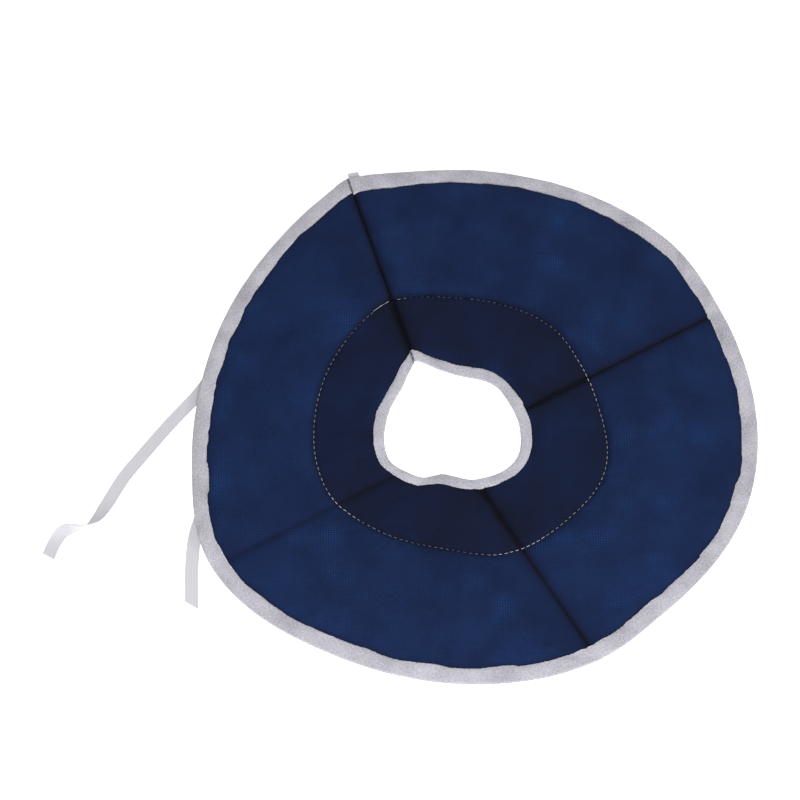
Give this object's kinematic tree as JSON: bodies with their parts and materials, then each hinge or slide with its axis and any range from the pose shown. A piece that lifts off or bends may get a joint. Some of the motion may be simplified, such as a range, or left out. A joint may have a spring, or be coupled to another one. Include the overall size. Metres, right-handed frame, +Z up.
{
  "type": "elizabethan collar",
  "caption": "Soft padded recovery collar for a small pet: a quilted navy fabric ring with white binding, a slit with a hook-and-loop flap, fold creases and ribbon ties.",
  "frame": {"origin": "centre of the ring in plan, without its loose ribbons, on the surface that it lies on", "axes": "+Z up, out of the face cloth; +Y towards the slit's side of the ring; +X to the right seen with the face cloth up"},
  "size_m": [0.4256, 0.3362, 0.017],
  "materials": {
    "navy_cloth": "woven navy cotton, matt with a faint sheen",
    "navy_backing": "woven navy cotton, matt",
    "foam": "open-cell foam wadding",
    "white_tape": "non-woven white bias tape, slightly crumpled",
    "thread": "twisted white polyester thread",
    "ribbon": "thin white woven ribbon, slightly translucent",
    "hook": "black nylon hook tape",
    "loop": "black brushed loop tape"
  },
  "bodies": {
    "front_panel": {"front_face_cloth": "navy_cloth", "front_back_cloth": "navy_backing", "front_rim_foam": "foam", "front_neck_foam": "foam", "front_rim_tape": "white_tape", "front_neck_tape": "white_tape", "front_quilt_thread": "thread"},
    "left_panel": {"left_face_cloth": "navy_cloth", "left_back_cloth": "navy_backing", "left_rim_foam": "foam", "left_neck_foam": "foam", "left_rim_tape": "white_tape", "left_neck_tape": "white_tape", "left_quilt_thread": "thread", "closure_loop_tape": "loop", "left_tie_tab": "ribbon", "left_tie": "ribbon"},
    "right_panel": {"right_face_cloth": "navy_cloth", "right_back_cloth": "navy_backing", "right_rim_foam": "foam", "right_neck_foam": "foam", "right_rim_tape": "white_tape", "right_neck_tape": "white_tape", "right_quilt_thread": "thread"},
    "top_panel": {"top_face_cloth": "navy_cloth", "top_back_cloth": "navy_backing", "top_rim_foam": "foam", "top_neck_foam": "foam", "top_rim_tape": "white_tape", "top_neck_tape": "white_tape", "top_quilt_thread": "thread", "closure_seam": "navy_backing", "right_tie_tab": "ribbon"},
    "tie_ribbon": {"right_tie": "ribbon"},
    "flap": {"closure_flap": "navy_backing", "closure_hook_tape": "hook"}
  },
  "joints": [
    {"name": "fold_left", "type": "hinge", "parent": "front_panel", "child": "left_panel", "pos_m": [-0.00654, -0.01757, 0.00155], "axis": [0.8788, 0.4772, 0], "range_deg": [0, 140]},
    {"name": "fold_bottom", "type": "hinge", "parent": "front_panel", "child": "right_panel", "pos_m": [-0.02177, -0.01002, 0.00155], "axis": [-0.5299, 0.848, 0], "range_deg": [0, 140]},
    {"name": "fold_right", "type": "hinge", "parent": "right_panel", "child": "top_panel", "pos_m": [-0.00654, -0.01757, 0.00155], "axis": [0.8788, 0.4772, 0], "range_deg": [0, 140]},
    {"name": "tie_swing", "type": "hinge", "parent": "top_panel", "child": "tie_ribbon", "pos_m": [-0.06906, 0.15282, 0.0109], "axis": [-0.5299, 0.848, 0], "range_deg": [-140, 0]},
    {"name": "closure_peel", "type": "hinge", "parent": "top_panel", "child": "flap", "pos_m": [-0.04532, 0.05701, 0.00585], "axis": [0.3195, -0.9443, -0.0792], "range_deg": [0, 90]}
  ],
  "couplings": [
    {"joint": "fold_right", "follows": "fold_left", "ratio": 1},
    {"joint": "tie_swing", "follows": "fold_bottom", "ratio": -1}
  ]
}
